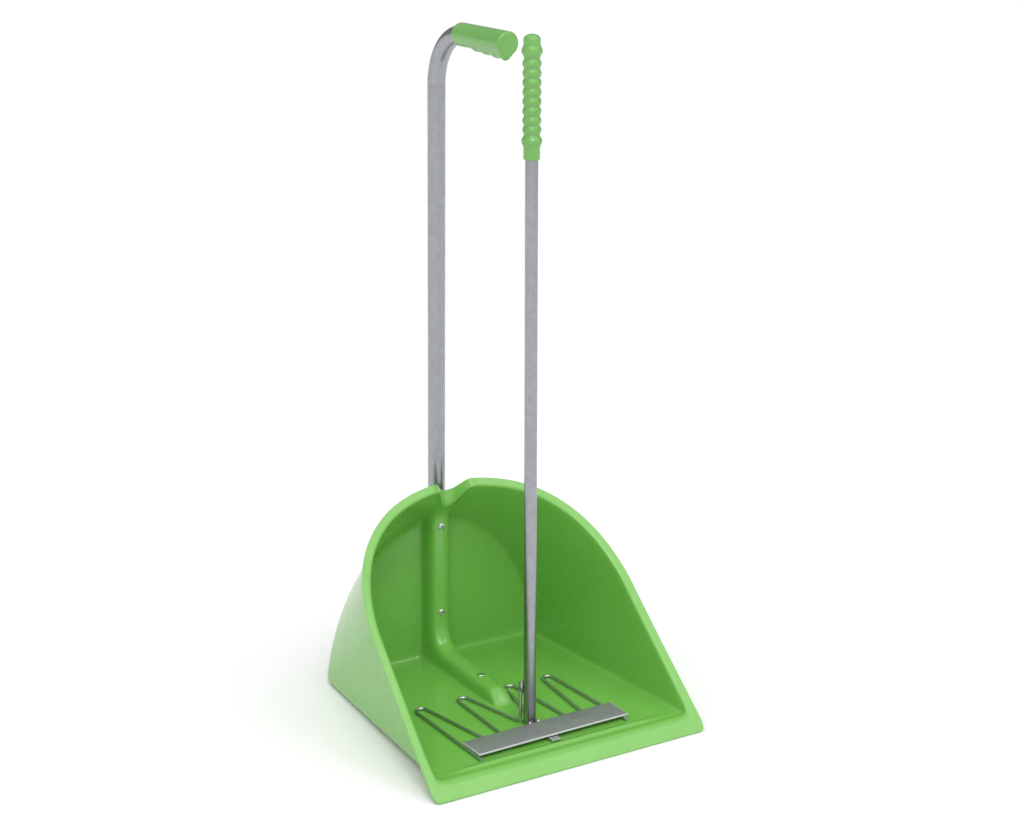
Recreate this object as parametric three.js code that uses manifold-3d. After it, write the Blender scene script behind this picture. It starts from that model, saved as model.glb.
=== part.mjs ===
// A stable scoop that stands on its own, with a short rake resting in its pan.
// Millimetres, +Z up, the open front of the pan towards -Y.
import * as THREE from 'three';
import { mergeVertices } from 'three/addons/utils/BufferGeometryUtils.js';
import Module from 'manifold-3d';

const wasm = await Module();
wasm.setup();

// ---- driving dimensions ----
// While modelling, Y is measured from the front edge of the lip and Z from the ground.
const wall = 3; // thickness of the moulded pan
const rim = {
  halfFront: 189, halfSide: 184, shoulderZ: 130, topZ: 266, roundness: 2.27,
  slope: 1.139, edgeZ: 2.3, bow: 4.5, flange: 12,
};
const lip = { crestY: 17, crestZ: 16.9, cornerIn: 2.4, beadY: 34.5, beadRise: 4, beadHalf: 151 };
const floor = { frontY: 17, frontZ: 16.5, backZ: 3.2, halfFront: 174, taper: 0.058 };
const back = { y: 353.6, halfWidth: 155, centreZ: -30, height: 227, cornerSoft: 12 };
const ridge = { halfFloor: 22, halfBack: 19, radius: 15.6, squareness: 0.8, noseFootY: 164, noseTopY: 196 };
const notch = { half: 27, innerY: 316, innerZ: 227, outerY: 318.5, outerZ: 246 };
const tube = {
  r: 11, wall: 1.5, y: 343, footZ: 12.5, footEndY: 198, lowBend: 45, topBend: 66, topZ: 823.6,
};
const grip = {
  r: 14, endY: 173.5, wallEnd: 4, overBend: 4.5, keelR: 5.5, keelDrop: 5.7, keelRise: 1.13, twist: 9,
  fingerPitch: 22.8, fingers: 4, fingerDip: 1.9,
};
const plug = { flange: 2.3, depth: 12 };
const rivet = { shankR: 2.4, headR: 4.75, headH: 1.6, bulbR: 3.5, bulbL: 4, boreR: 1.3, stubR: 1.0 };
const rake = { x: -3, y: 101.5, lift: 2.45, leanBack: 1.18, yaw: 0.92 };
const stick = { r: 7.5, wall: 1.2, bottomZ: 2.2, topZ: 814 };
const rakeGrip = {
  sleeveZ: 686.6, collarZ: 707.5, ribZ: 719.5, ribPitch: 10.41, ribs: 8, crownZ: 805.4, topZ: 825,
  sleeveR: 9.5, ribR: 10.8, grooveR: 9, collarR: 11.9, domeR: 9.7, domeH: 6.5,
};
const blade = { halfWidth: 106, shift: 3.6, rearY: -12.5, frontY: -52.5, t: 2.3 };
const wire = {
  r: 1.9, frontX: 103.3, frontY: -58.5, tipY: 100, tipR: 7.2, turnX: 57, turnY: -36, turnR: 9.3,
  legX: 9, legY: 7.2, legUp: 52,
};
const prongs = { outerLeft: 94.5, outerRight: 91, inner: 34.5 };
const strap = { halfWidth: 6.5, rearY: 9, frontY: -60.5, t: 2.8 };
const weld = { legLong: 8.5, legWide: 3.9, footR: 3.4, footX: 5.8, footBehind: 2.8 };
const gap = 0.3;

// ---- helpers ----
const rad = THREE.MathUtils.degToRad;
const lerp = THREE.MathUtils.lerp;

function toSolid(geometry) {
  const bare = geometry.clone();
  bare.deleteAttribute('normal');
  bare.deleteAttribute('uv');
  const merged = mergeVertices(bare, 1e-4);
  return new wasm.Manifold(new wasm.Mesh({
    numProp: 3,
    vertProperties: new Float32Array(merged.attributes.position.array),
    triVerts: new Uint32Array(merged.index.array),
  }));
}

function fromSolid(solid) {
  const mesh = solid.getMesh();
  const geometry = new THREE.BufferGeometry();
  geometry.setAttribute('position', new THREE.BufferAttribute(mesh.vertProperties, 3));
  geometry.setIndex(new THREE.BufferAttribute(mesh.triVerts, 1));
  geometry.computeVertexNormals();
  return geometry;
}

function ringShape(outer, inner, sides) {
  const shape = new THREE.Shape();
  const hole = new THREE.Path();
  for (let i = 0; i < sides; i++) {
    const a = (i + 0.5) / sides * 2 * Math.PI;
    const go = i ? 'lineTo' : 'moveTo';
    shape[go](outer * Math.cos(a), outer * Math.sin(a));
    if (inner) hole[go](inner * Math.cos(a), inner * Math.sin(a));
  }
  if (inner) shape.holes.push(hole);
  return shape;
}

// A path of straights and arcs, sampled only where it bends.
class StationPath extends THREE.Curve {
  constructor(stations) {
    super();
    this.stations = stations;
  }
  getPointAt(u, target = new THREE.Vector3()) {
    const n = this.stations.length - 1;
    return target.copy(this.stations[Math.round(u * n)]);
  }
  getPoint(u, target) {
    return this.getPointAt(u, target);
  }
  getTangentAt(u, target = new THREE.Vector3()) {
    const n = this.stations.length - 1;
    const i = Math.round(u * n);
    const before = this.stations[Math.max(i - 1, 0)];
    const here = this.stations[i];
    const after = this.stations[Math.min(i + 1, n)];
    const into = here.clone().sub(before).normalize();
    const out = after.clone().sub(here).normalize();
    return target.copy(into).add(out).normalize();
  }
}

function sweep(stations, shape) {
  const extrudePath = new StationPath(stations);
  const steps = stations.length - 1;
  return new THREE.ExtrudeGeometry(shape, { steps, extrudePath, bevelEnabled: false });
}

// Points of an arc in the plane spanned by two unit vectors, ends included.
function arc(centre, radius, from, to, steps, axisA, axisB) {
  const points = [];
  for (let i = 0; i <= steps; i++) {
    const a = rad(lerp(from, to, i / steps));
    points.push(centre.clone()
      .addScaledVector(axisA, radius * Math.cos(a))
      .addScaledVector(axisB, radius * Math.sin(a)));
  }
  return points;
}

const alongX = new THREE.Vector3(1, 0, 0);
const alongY = new THREE.Vector3(0, 1, 0);
const alongZ = new THREE.Vector3(0, 0, 1);
const at = (x, y, z) => new THREE.Vector3(x, y, z);

function lathe(profile, segments) {
  const points = profile.map(([r, z]) => new THREE.Vector2(r, z));
  const geometry = new THREE.LatheGeometry(points, segments);
  return geometry.rotateX(Math.PI / 2); // the lathe's own axis is Y
}

// ---- pan: a control sheet of quads, settled onto its smooth surface and given its wall ----
const rimZ = (y) => y / rim.slope + rim.edgeZ;
const floorZ = (y) => lerp(floor.frontZ, floor.backZ, (y - floor.frontY) / (back.y - floor.frontY));

// Half width of the outer rim at a height: straight sides that lean, then a rounded arch.
function rimHalfAt(z) {
  if (z < rim.shoulderZ) return lerp(rim.halfFront, rim.halfSide, z / rim.shoulderZ);
  const up = (z - rim.shoulderZ) / (rim.topZ - rim.shoulderZ);
  return rim.halfSide * (1 - Math.min(up, 1) ** rim.roundness) ** (1 / rim.roundness);
}

// The rim lies in a leaning plane, bowed back a little at the middle of its height.
function rimPoint(x, z) {
  const bow = rim.bow * Math.sin(Math.PI * Math.min((z - rim.edgeZ) / (rim.topZ - rim.edgeZ), 1));
  return at(x, rim.slope * (z - rim.edgeZ) + bow, z);
}

// Outer edge and inner edge of the flange, from a point on the rim and the next one along it.
function flangeEdges(point, next) {
  const normal = at(0, -1, rim.slope).normalize();
  const inward = next.clone().sub(point).normalize().cross(normal).negate();
  return { outer: point, inner: point.clone().addScaledVector(inward, rim.flange) };
}

function sideFlange(y) {
  const z = rimZ(y);
  return flangeEdges(rimPoint(rimHalfAt(z), z), rimPoint(rimHalfAt(z + 1), z + 1));
}

const archStart = Math.asin((floor.backZ - back.centreZ) / back.height);
const archEnd = Math.acos((ridge.halfBack + 1) / back.halfWidth);
const rimStartY = 165;
const power = 2 / rim.roundness;
const rimArchHeight = rim.topZ - rim.shoulderZ;
const rimStart = Math.asin(((rimZ(rimStartY) - rim.shoulderZ) / rimArchHeight) ** (1 / power));
const rimEnd = Math.acos((notch.half / rim.halfSide) ** (1 / power));

function archPoint(t) {
  const a = lerp(archStart, archEnd, t);
  return at(back.halfWidth * Math.cos(a), back.y, back.centreZ + back.height * Math.sin(a));
}

function archFlange(t) {
  const on = (s) => {
    const a = lerp(rimStart, rimEnd, s);
    const up = rimArchHeight * Math.sin(a) ** power;
    return rimPoint(rim.halfSide * Math.cos(a) ** power, rim.shoulderZ + up);
  };
  return flangeEdges(on(t), on(t + 0.01));
}

// Every row of the sheet: where its base and its ridge crest lie in the YZ plane.
const crest = (y) => ({ y, z: tube.footZ + ridge.radius });
const bendCentre = { y: tube.y - tube.lowBend, z: tube.footZ + tube.lowBend };

function floorRow(y, lift, width) {
  const z = floorZ(y);
  const top = { y, z: lerp(z, crest(y).z, lift) };
  return { base: { y, z }, top, rise: tube.footZ - z, width, ridged: lift > 0 };
}

function bendRow(y, z) {
  const dy = y - bendCentre.y;
  const dz = z - bendCentre.z;
  const reach = Math.hypot(dy, dz);
  const k = (tube.lowBend - ridge.radius) / reach;
  const top = { y: bendCentre.y + dy * k, z: bendCentre.z + dz * k };
  const width = lerp(ridge.halfFloor, ridge.halfBack, Math.min(Math.max((z - floor.backZ) / 50, 0), 1));
  return { base: { y, z }, top, rise: reach - tube.lowBend, width, ridged: true };
}

function backRow(z, t) {
  const top = { y: tube.y - ridge.radius, z };
  return { base: { y: back.y, z }, top, rise: back.y - tube.y, width: ridge.halfBack, ridged: true, t };
}

function lipRow(y, z, bead = 0) {
  return { base: { y, z }, top: { y, z }, rise: 0, width: ridge.halfFloor, bead };
}

// How high each row of the back wall is, and how far round the arch its sides have gone.
const climb = [[57.5, 0.28], [75, 0.41], [92, 0.55], [108, 0.69], [122, 0.845], [135, 1]];

const rows = [
  lipRow(0, rim.edgeZ),
  lipRow(lip.crestY * 0.5, lerp(rim.edgeZ, lip.crestZ, 0.5)),
  lipRow(lip.crestY, lip.crestZ),
  lipRow(lip.crestY + 7, floorZ(lip.crestY) + 0.6),
  lipRow(lip.beadY - 5, floorZ(lip.beadY)),
  lipRow(lip.beadY, floorZ(lip.beadY), lip.beadRise),
  lipRow(lip.beadY + 4.5, floorZ(lip.beadY + 4.5)),
  ...[46, 75, 110, 140, 157].map((y) => floorRow(y, 0, ridge.halfFloor)),
  floorRow(ridge.noseFootY, 0, 17),
  floorRow(ridge.noseFootY + 6, 0.32, 17),
  floorRow(ridge.noseFootY + 14, 0.74, 17.5),
  floorRow(ridge.noseFootY + 22, 0.98, 18),
  floorRow(ridge.noseTopY, 1, 18),
  floorRow(225, 1, 19),
  ...[262, bendCentre.y].map((y) => floorRow(y, 1, ridge.halfFloor)),
  bendRow(318, floorZ(318)),
  bendRow(back.y - back.cornerSoft, floorZ(back.y - back.cornerSoft)),
  bendRow(back.y, floor.backZ),
  { ...bendRow(back.y, floor.backZ + back.cornerSoft), t: 0.05 },
  { ...bendRow(back.y, 37), t: 0.155 },
  ...climb.map(([z, t]) => backRow(z, t)),
];

// Half cross-section of the ridge: crest, round shoulder, side and foot.
function ridgeSection(row) {
  const { base, top, rise, width, ridged } = row;
  const points = [];
  for (let k = 0; k <= 5; k++) {
    const a = rad(Math.min(k, 3) * 30);
    let x = k / 5 * width;
    let up = 0;
    if (ridged) {
      const narrow = width / ridge.halfFloor < 0.85 ? width / ridge.halfBack : 1;
      const over = ridge.radius * Math.max(Math.cos(a), 0) ** ridge.squareness;
      up = (rise + over) / (rise + ridge.radius);
      x = ridge.radius * Math.sin(a) ** ridge.squareness * narrow;
      if (k > 3) {
        up = k === 4 ? up * 0.25 : 0;
        x = k === 4 ? lerp(x, width, 0.3) : width;
      }
    }
    points.push(at(x, lerp(base.y, top.y, up), lerp(base.z, top.z, up)));
  }
  return points;
}

// Half row outside the ridge: floor or back, the soft corner, the side wall and the flange.
function sideSection(row, start) {
  const { base, t } = row;
  const floorHalf = floor.halfFront - floor.taper * base.y;
  const corner = t === undefined ? at(floorHalf, base.y, base.z) : archPoint(t);
  const run = (base.y - lip.crestY) / (back.y - lip.crestY);
  const rimY = base.y <= lip.crestY ? base.y : lerp(lip.crestY, rimStartY, run ** 0.8);
  const edge = t === undefined ? sideFlange(rimY) : archFlange(t);
  if (base.y <= lip.crestY) {
    const spread = [0.3, 0.6, 0.76, 0.8, 0.84, 0.88, 0.905, 0.925, 0.94, 0.965, 1];
    const points = spread.map((s) => at(lerp(start.x, edge.outer.x, s), base.y, base.z));
    // the corner point of the lip moves in, which rounds it
    if (base.y === 0) points[10].add(at(-1, rim.slope / 1.5, 1 / 1.5).multiplyScalar(lip.cornerIn));
    return points;
  }
  const soft = Math.min(back.cornerSoft, corner.distanceTo(edge.inner) * 0.3);
  const before = corner.clone().addScaledVector(start.clone().sub(corner).normalize(), back.cornerSoft);
  const wallDirection = edge.inner.clone().sub(corner).normalize();
  const after = corner.clone().addScaledVector(wallDirection, soft);
  const below = edge.inner.clone().addScaledVector(wallDirection, -Math.min(7, soft));
  return [
    start.clone().lerp(before, 1 / 3), start.clone().lerp(before, 2 / 3), before, corner, after,
    after.clone().lerp(below, 1 / 3), after.clone().lerp(below, 2 / 3), below,
    edge.inner, edge.inner.clone().lerp(edge.outer, 0.5), edge.outer,
  ];
}

// The crest line from the back wall up to the notch in the rim, one point for each side station.
const faceY = tube.y - ridge.radius;
const crestLine = [
  [faceY, 151], [faceY, 168], [faceY, 184], [faceY, 199], [faceY, 210], [324, 217],
  [320.5, 221], [notch.innerY + 1.5, notch.innerZ - 3.5], [notch.innerY, notch.innerZ],
  [notch.innerY + 0.5, lerp(notch.innerZ, notch.outerZ, 0.45)], [notch.outerY, notch.outerZ],
];

function panSheet() {
  const vertices = [];
  const quads = [];
  const add = (p) => vertices.push(p) - 1;
  const mirrored = (p) => at(-p.x, p.y, p.z);
  const grid = rows.map((row) => {
    const middle = ridgeSection(row);
    const half = [...middle, ...sideSection(row, middle[5])];
    if (row.bead) half.forEach((p) => { if (p.x < lip.beadHalf) p.z += row.bead; });
    const left = half.slice(1).reverse().map((p) => add(mirrored(p)));
    return [...left, ...half.map((p) => add(p))];
  });
  const centre = (grid[0].length - 1) / 2;
  const join = (a, b, c, d) => quads.push([a, b, c, d]);
  for (let j = 1; j < grid.length; j++) {
    for (let i = 1; i < grid[0].length; i++) {
      join(grid[j - 1][i - 1], grid[j - 1][i], grid[j][i], grid[j][i - 1]);
    }
  }
  const last = grid[grid.length - 1];
  let previous = last.slice(centre - 5, centre + 6);
  crestLine.forEach(([y, z], s) => {
    const rightSide = last[centre + 6 + s];
    const base = vertices[rightSide];
    const rise = back.y - tube.y;
    const section = ridgeSection({ base, top: { y, z }, rise, width: base.x, ridged: true });
    const blend = Math.min(Math.max((s - 3) / 5, 0), 1); // round ridge turns into a soft wave
    section.forEach((p, k) => { p.x = lerp(p.x, k / 5 * base.x, blend); });
    const row = [];
    for (let k = -5; k <= 5; k++) {
      if (Math.abs(k) === 5) row.push(k > 0 ? rightSide : last[centre - 6 - s]);
      else row.push(add(k < 0 ? mirrored(section[-k]) : section[k]));
    }
    for (let k = 1; k < row.length; k++) join(previous[k - 1], previous[k], row[k], row[k - 1]);
    previous = row;
  });
  return { vertices, quads };
}

// Limit positions of a Catmull-Clark surface for the vertices of a quad sheet.
function settle({ vertices, quads }) {
  const edges = new Map();
  const faces = vertices.map(() => []);
  for (const quad of quads) {
    quad.forEach((v, i) => {
      const next = quad[(i + 1) % 4];
      const key = `${Math.min(v, next)}_${Math.max(v, next)}`;
      edges.set(key, (edges.get(key) ?? 0) + 1);
      faces[v].push(quad[(i + 2) % 4]);
    });
  }
  const around = vertices.map(() => []);
  const border = vertices.map(() => []);
  for (const [key, count] of edges) {
    const [a, b] = key.split('_').map(Number);
    around[a].push(b);
    around[b].push(a);
    if (count === 1) {
      border[a].push(b);
      border[b].push(a);
    }
  }
  return vertices.map((p, v) => {
    const sum = new THREE.Vector3();
    if (border[v].length) {
      border[v].forEach((b) => sum.add(vertices[b]));
      return sum.addScaledVector(p, 4).divideScalar(6);
    }
    const n = around[v].length;
    around[v].forEach((e) => sum.addScaledVector(vertices[e], 4));
    faces[v].forEach((f) => sum.add(vertices[f]));
    return sum.addScaledVector(p, n * n).divideScalar(n * (n + 5));
  });
}

function thicken(points, quads, thickness) {
  const normals = points.map(() => new THREE.Vector3());
  for (const [a, b, c, d] of quads) {
    const n = points[c].clone().sub(points[a]).cross(points[d].clone().sub(points[b])).normalize();
    [a, b, c, d].forEach((v) => normals[v].add(n));
  }
  const count = points.length;
  const under = points.map((p, v) => p.clone().addScaledVector(normals[v].normalize(), -thickness));
  const all = [...points, ...under];
  const triangles = [];
  const edgeSeen = new Set();
  for (const [a, b, c, d] of quads) {
    triangles.push(a, b, c, a, c, d);
    triangles.push(a + count, c + count, b + count, a + count, d + count, c + count);
    [[a, b], [b, c], [c, d], [d, a]].forEach(([p, q]) => edgeSeen.add(`${p}_${q}`));
  }
  for (const key of edgeSeen) {
    const [p, q] = key.split('_').map(Number);
    if (!edgeSeen.has(`${q}_${p}`)) triangles.push(p, p + count, q, q, p + count, q + count);
  }
  const geometry = new THREE.BufferGeometry();
  const flat = new Float32Array(all.flatMap((p) => [p.x, p.y, p.z]));
  geometry.setAttribute('position', new THREE.BufferAttribute(flat, 3));
  geometry.setIndex(triangles);
  return geometry;
}

// Where each rivet goes: a point on the tube's axis and the turn that points its head inwards.
const rivets = [
  { name: 'rivet_upper', axis: at(0, tube.y, 194), turn: Math.PI / 2 },
  { name: 'rivet_lower', axis: at(0, tube.y, 74), turn: Math.PI / 2 },
  { name: 'rivet_foot', axis: at(0, 226, tube.footZ), turn: 0 },
];
const faceR = ridge.radius - 0.7; // the settled ridge face from the tube's axis
const seatR = faceR - 0.7; // a shallow flat seat under each head

function place(geometry, { axis, turn }) {
  return geometry.rotateX(turn).translate(axis.x, axis.y, axis.z);
}

function rivetCuts(item) {
  const hole = new THREE.CylinderGeometry(rivet.shankR + 0.25, rivet.shankR + 0.25, 14, 16);
  const seat = new THREE.CylinderGeometry(rivet.headR + 0.5, rivet.headR + 0.5, 4, 24);
  hole.rotateX(Math.PI / 2).translate(0, 0, 13);
  seat.rotateX(Math.PI / 2).translate(0, 0, seatR + 2);
  return { hole: toSolid(place(hole, item)), seat: toSolid(place(seat, item)) };
}

function panGeometry() {
  const sheet = panSheet();
  let solid = toSolid(thicken(settle(sheet), sheet.quads, wall));
  for (const item of rivets) {
    const { hole, seat } = rivetCuts(item);
    solid = solid.subtract(hole).subtract(seat);
  }
  return fromSolid(solid);
}

// ---- handle ----
const topCentre = at(0, tube.y - tube.topBend, tube.topZ - tube.topBend);

function handlePath() {
  const lowCentre = at(0, bendCentre.y, bendCentre.z);
  return [
    at(0, tube.footEndY, tube.footZ),
    ...arc(lowCentre, tube.lowBend, -90, 0, 7, alongY, alongZ),
    ...arc(topCentre, tube.topBend, 0, 90, 8, alongY, alongZ),
    at(0, grip.endY + grip.wallEnd + 1, tube.topZ),
  ];
}

function handleTube() {
  let solid = toSolid(sweep(handlePath(), ringShape(tube.r, tube.r - tube.wall, 20)));
  for (const item of rivets) solid = solid.subtract(rivetCuts(item).hole);
  return fromSolid(solid);
}

// The grip follows the end of the top bend, then runs straight to a closed end.
function gripPath(startAngle, endY) {
  return [...arc(topCentre, tube.topBend, startAngle, 90, 4, alongY, alongZ), at(0, endY, tube.topZ)];
}

// How far the keel reaches below the tube's axis: four finger ridges that fade towards the bend.
function fingerDepth(along) {
  const share = along / grip.fingerPitch;
  const fade = 1 - THREE.MathUtils.smoothstep(share, grip.fingers - 1, grip.fingers - 0.1);
  const dip = grip.fingerDip * (1 - Math.abs(Math.cos(Math.PI * share)));
  return Math.max(grip.r - 2, grip.r + (grip.keelDrop - grip.keelRise * share) * fade - dip);
}

function keelSolid() {
  const length = grip.fingerPitch * grip.fingers;
  const side = new THREE.Shape();
  side.moveTo(0, 0);
  for (let i = 0; i <= grip.fingers * 6; i++) {
    const along = length * i / (grip.fingers * 6);
    side.lineTo(along, -fingerDepth(along));
  }
  side.lineTo(length, 0);
  const scallops = new THREE.ExtrudeGeometry(side, { depth: 4 * grip.r, bevelEnabled: false });
  scallops.translate(0, 0, -2 * grip.r);
  scallops.applyMatrix4(new THREE.Matrix4().makeBasis(alongY, alongZ, alongX));
  scallops.translate(0, grip.endY, tube.topZ);
  const drop = new THREE.Shape();
  const depth = grip.r + grip.keelDrop - grip.keelR;
  const flank = Math.asin((grip.r - grip.keelR) / depth); // where the flat sides leave both rounds
  drop.absarc(0, 0, grip.r, -flank, Math.PI + flank, false);
  drop.absarc(0, -depth, grip.keelR, Math.PI + flank, 2 * Math.PI - flank, false);
  const prism = new THREE.ExtrudeGeometry(drop, { depth: length, bevelEnabled: false, curveSegments: 8 });
  prism.applyMatrix4(new THREE.Matrix4().makeBasis(alongX.clone().negate(), alongZ, alongY));
  prism.translate(0, grip.endY, tube.topZ);
  const keel = toSolid(prism).intersect(toSolid(scallops)).translate([0, 0, -tube.topZ]);
  return keel.rotate([0, grip.twist, 0]).translate([0, 0, tube.topZ]);
}

function handleGrip() {
  const start = 90 - grip.overBend;
  const outer = toSolid(sweep(gripPath(start, grip.endY), ringShape(grip.r, 0, 24)));
  const borePath = gripPath(start - 3, grip.endY + grip.wallEnd);
  const bore = toSolid(sweep(borePath, ringShape(tube.r + gap + 0.1, 0, 20)));
  return fromSolid(outer.add(keelSolid()).subtract(bore));
}

function footPlug() {
  const inside = tube.r - tube.wall - gap;
  const { flange, depth } = plug;
  const cap = [[0, -flange], [tube.r, -flange], [tube.r, -gap]];
  const shank = [[inside, -gap], [inside, depth], [0, depth]];
  return lathe([...cap, ...shank], 20).rotateX(-Math.PI / 2).translate(0, tube.footEndY, tube.footZ);
}

// ---- blind rivets: a body with a domed head, and the broken pin left inside it ----
function rivetBody(item) {
  const under = seatR + 0.1;
  const blind = tube.r - tube.wall - gap;
  return place(lathe([
    [rivet.boreR, under + rivet.headH], [rivet.headR * 0.45, under + rivet.headH],
    [rivet.headR * 0.85, under + rivet.headH * 0.6], [rivet.headR, under + 0.2], [rivet.headR, under],
    [rivet.shankR, under], [rivet.shankR, blind - 0.3], [rivet.bulbR, blind - 1.4],
    [rivet.bulbR, blind - rivet.bulbL], [rivet.boreR, blind - rivet.bulbL],
    [rivet.boreR, under + rivet.headH],
  ].reverse(), 16), item);
}

function rivetPin(item) {
  const top = seatR + rivet.headH - 0.5;
  const low = tube.r - tube.wall - rivet.bulbL - 2;
  return place(lathe([
    [0, low - 1.2], [rivet.stubR * 1.6, low - 1], [rivet.stubR * 1.6, low],
    [rivet.stubR, low + 0.6], [rivet.stubR, top], [0, top],
  ], 12), item);
}

// ---- rake: the stick and its grip, then the head, each in its own frame with -Y towards the blade ----
const headTilt = THREE.MathUtils.radToDeg(Math.atan2(floor.frontZ - floor.backZ, back.y - floor.frontY));

function stickTube() {
  const inner = stick.r - stick.wall;
  return lathe([
    [inner, stick.bottomZ], [stick.r, stick.bottomZ], [stick.r, stick.topZ], [inner, stick.topZ],
    [inner, stick.bottomZ],
  ], 18);
}

function ribbedGrip() {
  const g = rakeGrip;
  const bore = stick.r + gap;
  const profile = [[bore, g.sleeveZ], [g.sleeveR, g.sleeveZ], [g.sleeveR, g.collarZ - 5]];
  profile.push([g.collarR, g.collarZ - 1.5], [g.collarR, g.collarZ + 1.5]);
  for (let i = 0; i < g.ribs; i++) {
    const z = g.ribZ + i * g.ribPitch;
    profile.push([g.grooveR, z - g.ribPitch / 2], [g.ribR, z - 1.5], [g.ribR, z + 1.5]);
  }
  profile.push([g.grooveR, g.crownZ - 6.5], [g.collarR, g.crownZ - 1.5], [g.collarR, g.crownZ + 1.5]);
  profile.push([g.domeR, g.crownZ + 6]);
  for (let a = 0; a < 90; a += 30) {
    profile.push([g.domeR * Math.cos(rad(a)), g.topZ - g.domeH * (1 - Math.sin(rad(a)))]);
  }
  profile.push([0, g.topZ]);
  profile.push([0, stick.topZ + gap], [bore, stick.topZ + gap], [bore, g.sleeveZ]);
  return lathe(profile, 18);
}

function scraperBlade() {
  const depth = blade.rearY - blade.frontY;
  const box = new THREE.BoxGeometry(2 * blade.halfWidth, depth, blade.t);
  return box.translate(blade.shift, blade.frontY + depth / 2, wire.r + gap + blade.t / 2);
}

// One side's wire: front stub, outer prong, a turn under the blade, inner prong, then up the stick.
function prongPath(side) {
  const turn = (x, y, r, from, to, steps) => arc(at(x, y, 0), r, from, to, steps, alongX, alongY);
  const outer = side < 0 ? prongs.outerLeft : prongs.outerRight;
  const lean = wire.legUp * Math.sin(rad(headTilt - rake.leanBack));
  const stations = [
    at(wire.frontX, wire.frontY, 0),
    ...turn(outer, wire.tipY, wire.tipR, 0, 180, 6),
    ...turn(wire.turnX, wire.turnY, wire.turnR, 0, -180, 6),
    ...turn(prongs.inner, wire.tipY, wire.tipR, 0, 180, 6),
    at(wire.legX + 2.5, wire.legY + 9.8, 0),
    at(wire.legX + 0.6, wire.legY + 3.3, 0.6),
    at(wire.legX, wire.legY + 0.8, 3),
    at(wire.legX, wire.legY, 7),
    at(wire.legX, wire.legY - lean, wire.legUp),
  ];
  return stations.map((p) => at(p.x * side, p.y, p.z));
}

const prong = (side, r = wire.r) => sweep(prongPath(side), ringShape(r, 0, 8));

// The stick as a plain rod in the head's frame, for cutting the welds to it.
function stickRod(radius) {
  const length = 4 * wire.legUp;
  const rod = new THREE.CylinderGeometry(radius, radius, length, 24);
  rod.rotateX(Math.PI / 2).translate(0, 0, length / 2);
  return toSolid(rod.rotateX(rad(headTilt - rake.leanBack)));
}

// A bead of weld metal, cut back from what it joins.
function weldBead(centre, size, side) {
  const bead = new THREE.SphereGeometry(1, 14, 9);
  bead.scale(size.x, size.y, size.z).translate(centre.x * side, centre.y, centre.z);
  const strapLength = 2 * (strap.rearY - strap.frontY);
  const cuts = [
    stickRod(stick.r + gap),
    toSolid(prong(side, wire.r + gap)),
    toSolid(scraperBlade().translate(0, gap, 0)),
    toSolid(scraperBlade().translate(0, gap, -gap)),
    toSolid(new THREE.BoxGeometry(2 * (strap.halfWidth + gap), strapLength, strap.t + 2 * gap)),
  ];
  const solid = cuts.reduce((rest, cut) => rest.subtract(cut), toSolid(bead));
  return fromSolid(solid.decompose().sort((a, b) => b.volume() - a.volume())[0]);
}

function legWeld(side) {
  const lean = Math.sin(rad(headTilt - rake.leanBack)) * wire.legUp;
  const size = at(weld.legWide, weld.legWide, weld.legLong);
  const centre = at(wire.legX * 0.86, wire.legY * 0.86 - lean, wire.legUp - weld.legLong * 0.6);
  return weldBead(centre, size, side);
}

function footWeld(side) {
  const centre = at(weld.footX, blade.rearY + weld.footBehind, wire.r + gap + 1);
  return weldBead(centre, at(weld.footR, weld.footR, weld.footR), side);
}

function footStrap() {
  const length = strap.rearY - strap.frontY;
  const box = new THREE.BoxGeometry(2 * strap.halfWidth, length, strap.t);
  return box.translate(0, strap.frontY + length / 2, 0);
}

// ---- materials ----
function finish(color, roughness, metalness) {
  return new THREE.MeshStandardMaterial({ color, roughness, metalness });
}

const pastel = finish('#68a848', 0.3, 0);
const gripGreen = finish('#78b860', 0.42, 0);
const zinc = finish('#a6a9b0', 0.38, 0.9);
const steel = finish('#7a7c82', 0.4, 0.9);
const aluminium = finish('#d2d4d6', 0.3, 0.95);
const black = finish('#2b2c2e', 0.6, 0);

// ---- assembly ----
function named(name, geometry, material) {
  const mesh = new THREE.Mesh(geometry, material);
  mesh.name = name;
  return mesh;
}

const scoop = new THREE.Group();
scoop.add(named('pan', panGeometry(), pastel));
scoop.add(named('handle_tube', handleTube(), zinc));
scoop.add(named('handle_grip', handleGrip(), gripGreen));
scoop.add(named('foot_plug', footPlug(), black));
for (const item of rivets) {
  scoop.add(named(item.name, rivetBody(item), aluminium));
  scoop.add(named(`${item.name}_pin`, rivetPin(item), steel));
}

const rakeStick = new THREE.Group();
rakeStick.add(named('rake_tube', stickTube(), zinc));
rakeStick.add(named('rake_grip', ribbedGrip(), gripGreen));
rakeStick.rotation.x = -rad(rake.leanBack);

const rakeHead = new THREE.Group();
rakeHead.add(named('scraper_blade', scraperBlade(), steel));
rakeHead.add(named('foot_strap', footStrap(), steel));
for (const [hand, side] of [['left', -1], ['right', 1]]) {
  rakeHead.add(named(`prong_wire_${hand}`, prong(side), zinc));
  rakeHead.add(named(`leg_weld_${hand}`, legWeld(side), steel));
  rakeHead.add(named(`foot_weld_${hand}`, footWeld(side), steel));
}
rakeHead.rotation.x = -rad(headTilt);

const rakeGroup = new THREE.Group();
rakeGroup.add(rakeStick, rakeHead);
rakeGroup.position.set(rake.x, rake.y, floorZ(rake.y) + rake.lift);
rakeGroup.rotation.z = rad(rake.yaw);

const object = new THREE.Group();
object.add(scoop, rakeGroup);

// The origin goes to the middle of the bounding box, on the ground.
const bounds = new THREE.Box3().setFromObject(object, true);
const middle = bounds.getCenter(new THREE.Vector3());
object.position.set(-middle.x, -middle.y, -bounds.min.z);
object.updateMatrixWorld(true);

export default object;
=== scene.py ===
import math
import random

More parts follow.
